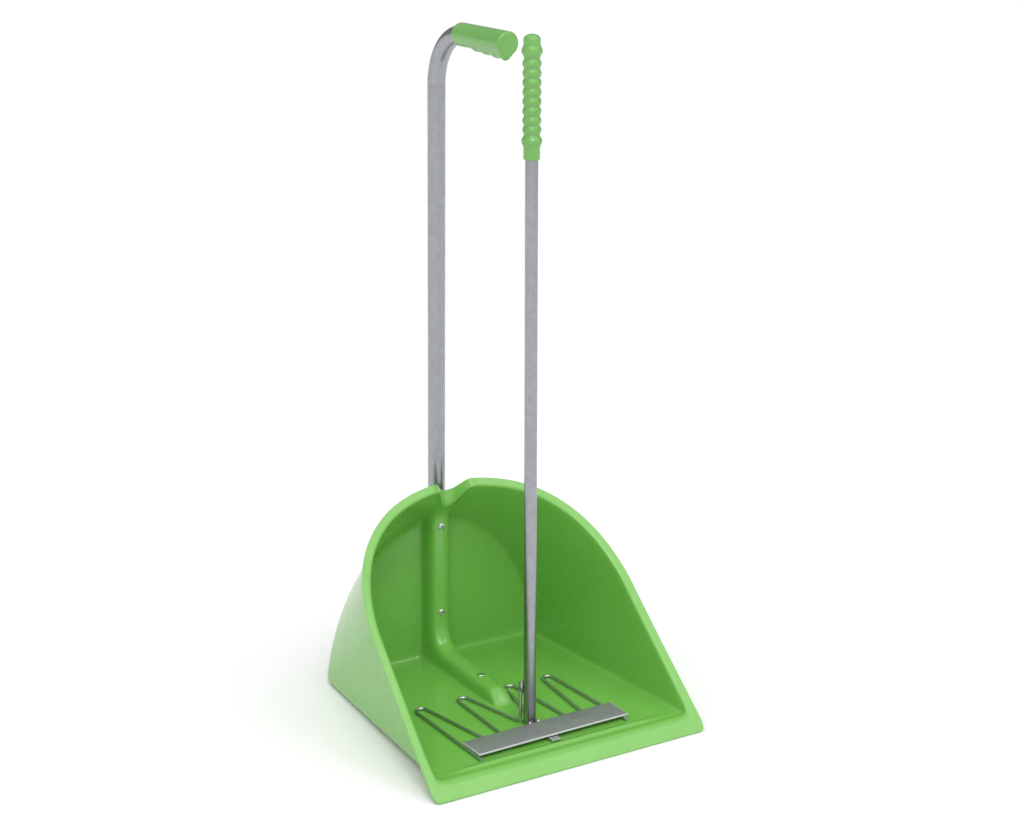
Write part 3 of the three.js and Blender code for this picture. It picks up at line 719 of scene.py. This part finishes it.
def makeHandleGrip():
    vertices, faces, sides = [], [], grip["sides"]
    stations = gripStations()
    # the bore goes back in from the collar; its rings have no inset
    deepest = grip["insideRings"] * grip["insideEvery"] + 1
    inside = [(p, way, along, None) for p, way, along, _ in stations[:-deepest:-grip["insideEvery"]]]
    for p, way, along, inset in stations + inside:
        down = xAxis.cross(way)
        if down.z > 0:
            down = -down
        depth = fingerDepth(along)
        for k in range(sides):
            a = 2 * math.pi * k / sides
            fromDown = min(a, 2 * math.pi - a)
            r = handle["r"] + fitGap if inset is None else gripRadius(fromDown, depth) - inset
            a -= math.radians(grip["twist"])  # the grip sits slightly turned on the tube
            vertices.append(place(*(p + (down * math.cos(a) + xAxis * math.sin(a)) * r)))
    rings = len(stations) + len(inside)
    for i in range(1, rings):
        faces += bandFaces((i - 1) * sides, i * sides, sides)
    for ring in (0, rings - 1):
        middle = sum((vertices[ring * sides + k] for k in range(sides)), Vector()) / sides
        vertices.append(middle)
        centre = len(vertices) - 1
        for k in range(sides):
            faces.append((ring * sides + k, ring * sides + (k + 1) % sides, centre))
    return outwardNormals(meshObject("handleGrip", vertices, faces))


finishPiece(makeHandleGrip(), materials["grip"], "scoop", "grip_plastic", "handle_grip")
print("handle bent and gripped")


def latheMesh(name, profile, sides, turn=Matrix()):
    # profile: (radius, height) pairs in millimetres, from one end of the axis to the other
    vertices, faces = [], []
    for r, z in profile:
        for k in range(sides):
            a = 2 * math.pi * k / sides
            vertices.append(turn @ (Vector((r * math.cos(a), r * math.sin(a), z)) * mm))
    for i in range(1, len(profile)):
        faces += bandFaces((i - 1) * sides, i * sides, sides)
    return outwardNormals(meshObject(name, vertices, faces))


plug = {"flange": 2.3, "round": 1.6, "depth": 12, "gap": 0.3, "lead": 1, "sides": 40}


def makeFootPlug():
    r, bore = handle["r"], handle["r"] - handle["wall"] - plug["gap"]
    profile = [(0, -plug["flange"])]
    for a in range(0, 91, 15):
        a = math.radians(a)
        edge = plug["round"]
        profile.append((r - edge * (1 - math.sin(a)), -plug["flange"] + edge * (1 - math.cos(a))))
    gap, depth, lead = plug["gap"], plug["depth"], plug["lead"]
    profile += [(r, -gap), (bore, -gap), (bore, depth - lead), (bore - lead, depth), (0, depth)]
    spot = Matrix.Translation(place(0, handle["footEndY"], handle["footZ"]))
    return latheMesh("footPlug", profile, plug["sides"], spot @ Matrix.Rotation(-math.pi / 2, 4, "X"))


finishPiece(makeFootPlug(), materials["plug"], "scoop", "plug_plastic", "foot_plug")

# seat is the height of the head's underside above the middle of the handle tube
rivet = {
    "headR": 4.75, "headH": 1.7, "rimH": 0.25, "crown": 0.8, "shankR": 2.4, "gap": 0.3, "seat": 14.3,
    "bulbR": 3.5, "bulbTop": 1.4, "bulbFoot": 4,
    "boreR": 1.35, "boreFlare": 0.35, "boreTop": 0.12, "boreDepth": 0.9,
    "pinR": 1.1, "pinTop": 0.75, "pinFoot": 6, "pinHead": 1.6, "sides": 32, "pinSides": 20,
    "upperZ": 194, "lowerZ": 74, "footY": 226,
}


def rivetHead():
    r, seat, top = rivet["headR"], rivet["seat"], rivet["seat"] + rivet["headH"]
    shank, bulb, bore, rimH = rivet["shankR"], rivet["bulbR"], rivet["boreR"], rivet["rimH"]
    wall = handle["r"] - handle["wall"] - rivet["gap"]
    floor, foot = top - rivet["boreDepth"], wall - rivet["bulbFoot"]
    profile = [(bore, floor), (bore + rivet["boreFlare"], top - rivet["boreTop"])]
    for a in range(10, 91, 16):
        a = math.radians(a)
        dome = (rivet["headH"] - rimH) * math.cos(a) ** rivet["crown"]
        profile.append((r * math.sin(a), seat + rimH + dome))
    profile += [(r, seat), (shank, seat), (shank, wall - rivet["gap"]), (bulb, wall - rivet["bulbTop"])]
    profile += [(bulb, foot), (bore, foot), (bore, floor)]
    return latheMesh("rivetBody", profile, rivet["sides"])


def rivetStub():
    # the broken pin: a wider head inside the bulb, and a torn end with a slight dish
    top = rivet["seat"] + rivet["headH"] - rivet["pinTop"]
    low = handle["r"] - handle["wall"] - rivet["pinFoot"]
    r, wide = rivet["pinR"], rivet["pinR"] * rivet["pinHead"]
    profile = [(0, low - 1), (wide, low - 0.8), (wide, low), (r, low + 0.6)]
    profile += [(r, top - 0.15), (r - 0.2, top), (0, top - 0.2)]
    return latheMesh("rivetPin", profile, rivet["pinSides"])


def rivetTree():
    wanted = {"Rivet": ("Object", None), "Finish": ("Material", None)}
    tree, given, result = newTree("rivetsOnSpots", wanted)
    source = addNode(tree, "GeometryNodeObjectInfo", {"Object": given.outputs["Rivet"]})
    facing = addNode(tree, "GeometryNodeInputNamedAttribute", {"Name": "facing"}, data_type="FLOAT_VECTOR")
    turn = addNode(tree, "FunctionNodeAlignRotationToVector", {"Vector": facing.outputs[0]}, axis="Z")
    links = {
        "Points": given.outputs["Geometry"], "Instance": source.outputs["Geometry"],
        "Rotation": turn.outputs[0],
    }
    put = addNode(tree, "GeometryNodeInstanceOnPoints", links)
    closeTree(tree, put.outputs[0], given, result)
    return tree


def rivetSpots():
    spots = [
        (place(0, handle["y"], rivet["upperZ"]), -yAxis),
        (place(0, handle["y"], rivet["lowerZ"]), -yAxis),
        (place(0, rivet["footY"], handle["footZ"]), zAxis),
    ]
    thing = meshObject("rivetSpots", [spot for spot, _ in spots], [], smooth=False)
    attribute = thing.data.attributes.new("facing", "FLOAT_VECTOR", "POINT")
    for item, (_, facing) in zip(attribute.data, spots):
        item.vector = facing
    return thing


rivetsOnSpots = rivetTree()
rivetNodes = ("rivet_upper", "rivet_lower", "rivet_foot")
for label, source, finish, slot, ending in (
    ("rivets", rivetHead(), "rivet", "rivet_aluminium", ""),
    ("rivetPins", rivetStub(), "pin", "rivet_steel", "_pin"),
):
    made = applyTree(rivetSpots(), rivetsOnSpots, label, Rivet=source, Finish=materials[finish])
    bpy.data.objects.remove(source)
    finishPiece(made, materials[finish], "scoop", slot, *[node + ending for node in rivetNodes])
print("rivets set")

rake = {"x": -3, "y": 101.5, "lift": 2.45, "leanBack": 1.18, "yaw": 0.92}
stick = {"r": 7.5, "wall": 1.2, "sides": 40, "ringZ": (2.2, 300, 600, 814)}
headTilt = math.atan2(pan["floorFrontZ"] - pan["floorBackZ"], pan["backY"] - pan["crestY"])
rakeSpot = Matrix.Translation(place(rake["x"], rake["y"], floorZ(rake["y"]) + rake["lift"]))
rakeSpot = rakeSpot @ Matrix.Rotation(math.radians(rake["yaw"]), 4, "Z")
stickFrame = rakeSpot @ Matrix.Rotation(-math.radians(rake["leanBack"]), 4, "X")
headFrame = rakeSpot @ Matrix.Rotation(-headTilt, 4, "X")
legLean = headTilt - math.radians(rake["leanBack"])


def makeStick():
    path = [stickFrame @ Vector((0, 0, z * mm)) for z in stick["ringZ"]]
    outer, inner = stick["r"] * mm, (stick["r"] - stick["wall"]) * mm
    return hollowTube("rakeTube", path, outer, inner, stick["sides"])


finishPiece(makeStick(), materials["uprightZinc"], "rake", "zinc_tube", "rake_tube")

rakeGrip = {
    "sleeveZ": 686.6, "collarZ": 707.5, "ribZ": 719.5, "ribPitch": 10.41, "ribs": 8,
    "crownZ": 805.4, "topZ": 825, "sleeveR": 9.5, "grooveR": 8.8, "ribRise": 2.0, "ribHalf": 5.4,
    "collarRise": 2.35, "collarHalf": 7.4, "ringPower": 0.62, "domeR": 9.7, "domeH": 6.5,
    "boreDepth": 12, "mouthRound": 0.5, "mouthLead": 0.4, "ease": 3, "crownEase": 4,
    "steps": 230, "sides": 64,
}


def ribTree():
    # raises a row of equal rings on a round sleeve whose axis is Z
    wanted = {
        "First": ("Float", 0.7), "Pitch": ("Float", 0.01), "Count": ("Int", 8),
        "Half Width": ("Float", 0.004), "Rise": ("Float", 0.002), "Finish": ("Material", None),
    }
    tree, given, result = newTree("raisedRings", wanted)
    pitch, half = given.outputs["Pitch"], given.outputs["Half Width"]
    spot = addNode(tree, "GeometryNodeInputPosition").outputs[0]
    parts = addNode(tree, "ShaderNodeSeparateXYZ", {0: spot})
    above = addMath(tree, "SUBTRACT", parts.outputs["Z"], given.outputs["First"])
    fromFirst = addMath(tree, "DIVIDE", above, pitch)
    nearest = addMath(tree, "ROUND", fromFirst)
    lastRing = addMath(tree, "SUBTRACT", given.outputs["Count"], 1.0)
    ring = addMath(tree, "MAXIMUM", addMath(tree, "MINIMUM", nearest, lastRing), 0.0)
    away = addMath(tree, "ABSOLUTE", addMath(tree, "SUBTRACT", fromFirst, ring))
    share = addMath(tree, "DIVIDE", addMath(tree, "MULTIPLY", away, pitch), half)
    angle = addMath(tree, "MULTIPLY", addMath(tree, "MINIMUM", share, 1.0), math.pi)
    wave = addMath(tree, "MULTIPLY", addMath(tree, "ADD", addMath(tree, "COSINE", angle), 1.0), 0.5)
    rounded = addMath(tree, "POWER", wave, rakeGrip["ringPower"])
    rise = addMath(tree, "MULTIPLY", rounded, given.outputs["Rise"])
    flat = addNode(tree, "ShaderNodeCombineXYZ", {0: parts.outputs["X"], 1: parts.outputs["Y"]})
    outward = addNode(tree, "ShaderNodeVectorMath", {0: flat.outputs[0]}, operation="NORMALIZE")
    shift = addNode(tree, "ShaderNodeVectorMath", {0: outward.outputs[0], "Scale": rise}, operation="SCALE")
    moved = addNode(
        tree, "GeometryNodeSetPosition", {"Geometry": given.outputs["Geometry"], "Offset": shift.outputs[0]}
    )
    closeTree(tree, moved.outputs[0], given, result)
    return tree


raisedRings = ribTree()


def rakeGripProfile():
    # bore, mouth, sleeve with its long groove between the two collars, and the domed top
    g = rakeGrip
    bore = stick["r"] + fitGap
    mouth, deep, rounding = g["sleeveZ"], g["sleeveZ"] + g["boreDepth"], g["mouthRound"]
    profile = [(0, deep), (bore, deep), (bore, mouth + rounding), (bore + g["mouthLead"], mouth)]
    profile += [(g["sleeveR"] - rounding, mouth), (g["sleeveR"], mouth + rounding)]
    for i in range(1, g["steps"] + 1):
        z = lerp(mouth + rounding, g["topZ"] - g["domeH"], i / g["steps"])
        start, end = (z - g["collarZ"] - 1) / g["ease"], (g["crownZ"] - 1 - z) / g["ease"]
        inGrooves = smoothStep(start) * smoothStep(end)
        top = smoothStep((z - g["crownZ"]) / g["crownEase"])
        profile.append((lerp(lerp(g["sleeveR"], g["grooveR"], inGrooves), g["domeR"], top), z))
    for a in range(6, 91, 6):
        a = math.radians(a)
        profile.append((g["domeR"] * math.cos(a), g["topZ"] - g["domeH"] * (1 - math.sin(a))))
    return profile


def makeRakeGrip():
    g = rakeGrip
    thing = latheMesh("rakeGrip", rakeGripProfile(), g["sides"])
    rings = (
        (g["ribZ"], g["ribPitch"], g["ribs"], g["ribHalf"], g["ribRise"]),
        (g["collarZ"], g["crownZ"] - g["collarZ"], 2, g["collarHalf"], g["collarRise"]),
    )
    for first, pitch, count, half, rise in rings:
        thing = applyTree(
            thing, raisedRings, "rakeGrip", First=first * mm, Pitch=pitch * mm, Count=count,
            Half_Width=half * mm, Rise=rise * mm, Finish=materials["grip"],
        )
    thing.data.transform(stickFrame)
    return thing


finishPiece(makeRakeGrip(), materials["grip"], "rake", "grip_plastic", "rake_grip")
print("rake stick ready")

blade = {
    "half": 106, "shift": 3.6, "rearY": -12.5, "frontY": -52.5, "t": 2.3, "edge": 0.6, "bow": 0.25,
    "overWire": 0.3, "cuts": 40,
    # width in millimetres of the paler band along the front edge and both ends, the share of it that is
    # fully pale, and its colour
    "paleEdge": 1.3, "paleEdgeFade": 0.6, "paleEdgeColour": (0.62, 0.63, 0.65, 1),
}
wire = {
    "r": 1.9, "sides": 20, "frontX": 103.3, "frontY": -58.5, "tipY": 100, "tipR": 7.2,
    "turnX": 57, "turnY": -36, "turnR": 9.3, "outerLeft": 94.5, "outerRight": 91, "inner": 34.5,
    "legX": 9, "legY": 7.2, "legUp": 52,
    "bendX": 2.6, "bendY": 12, "bendSag": 0.2, "bendZ": 9, "bendSteps": 12,
}
strap = {"half": 6.5, "rearY": 9, "frontY": -60.5, "t": 2.8, "edge": 0.7, "cuts": 6}
weld = {
    "legLong": 8.5, "legWide": 3.9, "legFlat": 0.85, "legIn": 0.86, "legDown": 0.6, "legSeed": 11,
    "footR": 3.4, "footX": 5.8, "footBehind": 2.8, "footUp": 1.3, "footSeed": 21,
    "swell": 0.042, "ripple": 0.049,
}


def headObject(name, work):
    # a finished bmesh becomes an object in the leaning frame of the rake's head
    mesh = bpy.data.meshes.new(name)
    work.to_mesh(mesh)
    work.free()
    mesh.transform(headFrame)
    mesh.shade_smooth()
    return addObject(name, mesh)


def plateMesh(name, low, high, cuts, bow=0.0):
    # a flat bar, cut across into short lengths and slightly bowed along X
    work = bmesh.new()
    bmesh.ops.create_cube(work, size=1)
    lengthwise = [e for e in work.edges if abs(e.verts[0].co.x - e.verts[1].co.x) > 0.5]
    bmesh.ops.subdivide_edges(work, edges=lengthwise, cuts=cuts, use_grid_fill=True)
    for v in work.verts:
        share = v.co + Vector((0.5, 0.5, 0.5))
        v.co = Vector([lerp(a, b, s) * mm for a, b, s in zip(low, high, share)])
        v.co.z += bow * mm * math.cos(math.pi * (share.x - 0.5))
    return headObject(name, work)


def brushedBlade():
    # dark steel brushed along its length, coloured paler in a band along the front edge and both ends
    material = workedMetal(
        "bladeSteel", bladeSteel, stretch=(0.02, 1, 1), size=30, grain=0.012, metallic=0.45
    )
    tree = material.node_tree
    shader = tree.nodes["Principled BSDF"]
    back = headFrame.inverted()
    where = addNode(tree, "ShaderNodeTexCoord").outputs["Object"]
    local = addNode(
        tree, "ShaderNodeMapping",
        {"Vector": where, "Location": back.to_translation(), "Rotation": back.to_euler()},
    )
    parts = addNode(tree, "ShaderNodeSeparateXYZ", {0: local.outputs[0]})
    across = addMath(tree, "SUBTRACT", parts.outputs["X"], blade["shift"] * mm)
    fromMiddle = addMath(tree, "ABSOLUTE", across)
    toEnd = addMath(tree, "SUBTRACT", blade["half"] * mm, fromMiddle)
    toFront = addMath(tree, "SUBTRACT", parts.outputs["Y"], blade["frontY"] * mm)
    nearest = addMath(tree, "MINIMUM", toEnd, toFront)
    # the blade's colour turns paler within this band along the front edge and both ends
    edge = blade["paleEdge"]
    ground = remap(tree, nearest, edge * mm, edge * blade["paleEdgeFade"] * mm, 0, 1)
    plain = shader.inputs["Base Color"].links[0].from_socket
    tree.links.new(blendColours(tree, ground, plain, blade["paleEdgeColour"]), shader.inputs["Base Color"])
    return material


def makeBlade():
    bottom = wire["r"] + blade["overWire"]
    low = (blade["shift"] - blade["half"], blade["frontY"], bottom)
    high = (blade["shift"] + blade["half"], blade["rearY"], bottom + blade["t"])
    thing = plateMesh("scraperBlade", low, high, blade["cuts"], blade["bow"])
    roundEdges(thing, blade["edge"], 3)
    return thing


finishPiece(makeBlade(), brushedBlade(), "rake", "blade_steel", "scraper_blade")


def makeStrap():
    low = (-strap["half"], strap["frontY"], -strap["t"] / 2)
    high = (strap["half"], strap["rearY"], strap["t"] / 2)
    thing = plateMesh("footStrap", low, high, strap["cuts"])
    roundEdges(thing, strap["edge"], 3)
    return thing


finishPiece(makeStrap(), materials["wireZinc"], "rake", "zinc_wire", "foot_strap")


def prongPath(side):
    # front stub, outer prong, a turn under the blade, inner prong, then up beside the stick
    w = wire
    outer = w["outerLeft"] if side < 0 else w["outerRight"]

    def turn(x, y, r, start, end, steps):
        return arcPoints(Vector((x, y, 0)), r, start, end, steps, xAxis, yAxis)

    path = [Vector((w["frontX"], w["frontY"], 0))]
    path += turn(outer, w["tipY"], w["tipR"], 0, 180, 24)
    path += turn(w["turnX"], w["turnY"], w["turnR"], 0, -180, 20)
    path += turn(w["inner"], w["tipY"], w["tipR"], 0, 180, 24)
    x, y = w["legX"], w["legY"]
    start, corner = Vector((x + w["bendX"], y + w["bendY"], 0)), Vector((x, y + w["bendSag"], 0))
    end = Vector((x, y, w["bendZ"]))
    for i in range(w["bendSteps"] + 1):
        t = i / w["bendSteps"]
        path.append(start * (1 - t) ** 2 + corner * 2 * t * (1 - t) + end * t * t)
    path.append(Vector((x, y - math.sin(legLean) * w["legUp"], w["legUp"])))
    return [headFrame @ (Vector((p.x * side, p.y, p.z)) * mm) for p in path]


for hand, side in (("Left", -1), ("Right", 1)):
    rod = applyTree(
        pathObject(prongPath(side)), roundRod, "prongWire" + hand,
        Radius=wire["r"] * mm, Sides=wire["sides"], Finish=materials["wireZinc"],
    )
    finishPiece(rod, materials["wireZinc"], "rake", "zinc_wire", "prong_wire_" + hand.lower())


def weldLump(name, spot, size, seed):
    # an uneven bead with the ripples of the torch across it
    chance = random.Random(seed)
    phase = [chance.uniform(0, 6.28) for _ in range(4)]
    work = bmesh.new()
    bmesh.ops.create_icosphere(work, subdivisions=4, radius=1)
    for v in work.verts:
        x, y, z = v.co
        swell = 0.5 * math.sin(7 * x + phase[0]) + 0.5 * math.sin(6 * y + phase[1])
        ripple = math.sin(9 * z + 1.5 * math.sin(3 * x + phase[2]) + phase[3])
        v.co *= 1 + weld["swell"] * swell + weld["ripple"] * ripple
        v.co = Vector((v.co.x * size[0], v.co.y * size[1], v.co.z * size[2])) + Vector(spot)
        v.co *= mm
    return headObject(name, work)


def addWelds(hand, side, seed):
    inward, foot, tall = weld["legIn"], weld["footR"], weld["legLong"]
    wide = weld["legWide"] * weld["legFlat"]
    lean = math.sin(legLean) * wire["legUp"]
    height = wire["legUp"] - tall * weld["legDown"]
    legSpot = (wire["legX"] * inward * side, wire["legY"] * inward - lean, height)
    legBead = weldLump(f"legWeld{hand.title()}", legSpot, (wide, wide, tall), weld["legSeed"] + seed)
    finishPiece(legBead, materials["weld"], "rake", "weld_steel", f"leg_weld_{hand}")
    footSpot = (weld["footX"] * side, blade["rearY"] + weld["footBehind"], wire["r"] + weld["footUp"])
    footBead = weldLump(f"footWeld{hand.title()}", footSpot, (foot, foot, foot), weld["footSeed"] + seed)
    finishPiece(footBead, materials["weld"], "rake", "weld_steel", f"foot_weld_{hand}")


addWelds("left", -1, 0)
addWelds("right", 1, 1)
print("rake head welded")

studio = {
    "floor": (0.93, 0.93, 0.925, 1), "floorPale": (0.94, 0.94, 0.94, 1), "reach": 40,
    "facing": (-0.516, -0.857, 0.0), "behind": 0.30, "ahead": 0.80, "fadeFrom": -0.45, "fadeTo": 0.35,
    # name, where it shines from, softness in degrees, strength
    "suns": (
        ("key", (-0.4, -0.8, 0.9), 45, 0.9),
        ("right", (0.49, -0.45, 0.75), 34, 0.38),
        ("top", (0, 0.1, 1.0), 80, 0.8),
        ("spark", (-0.15, -0.6, 1.0), 7, 0.22),
    ),
}


def litWorld():
    # a wide soft room, brighter on the side that the object faces
    world = bpy.data.worlds.new("studio")
    world.use_nodes = True
    tree = world.node_tree
    way = addNode(tree, "ShaderNodeTexCoord").outputs["Generated"]
    facing = addNode(tree, "ShaderNodeVectorMath", {0: way, 1: studio["facing"]}, operation="DOT_PRODUCT")
    fade = (studio["fadeFrom"], studio["fadeTo"], studio["behind"], studio["ahead"])
    amount = remap(tree, facing.outputs["Value"], *fade)
    background = tree.nodes["Background"]
    background.inputs["Color"].default_value = (1, 1, 1, 1)
    tree.links.new(amount, background.inputs["Strength"])
    return world


def makeStudio():
    r = studio["reach"]
    ground = meshObject("floor", [(-r, -r, 0), (r, -r, 0), (r, r, 0), (-r, r, 0)], [(0, 1, 2, 3)])
    material, tree, shader = newMaterial("floorPaper", Roughness=0.8)
    mottle = noise(tree, objectPlace(tree), 300, 2)
    tone = blendColours(tree, mottle, studio["floor"], studio["floorPale"])
    tree.links.new(tone, shader.inputs["Base Color"])
    ground.data.materials.append(material)
    bpy.context.scene.world = litWorld()
    for name, spot, softness, strength in studio["suns"]:
        data = bpy.data.lights.new(name, "SUN")
        data.angle = math.radians(softness)
        data.energy = strength
        light = addObject(name, data)
        light.matrix_world = (-Vector(spot)).to_track_quat("-Z", "Y").to_matrix().to_4x4()
    bpy.context.scene.view_settings.view_transform = "Standard"


makeStudio()
print("studio lit")
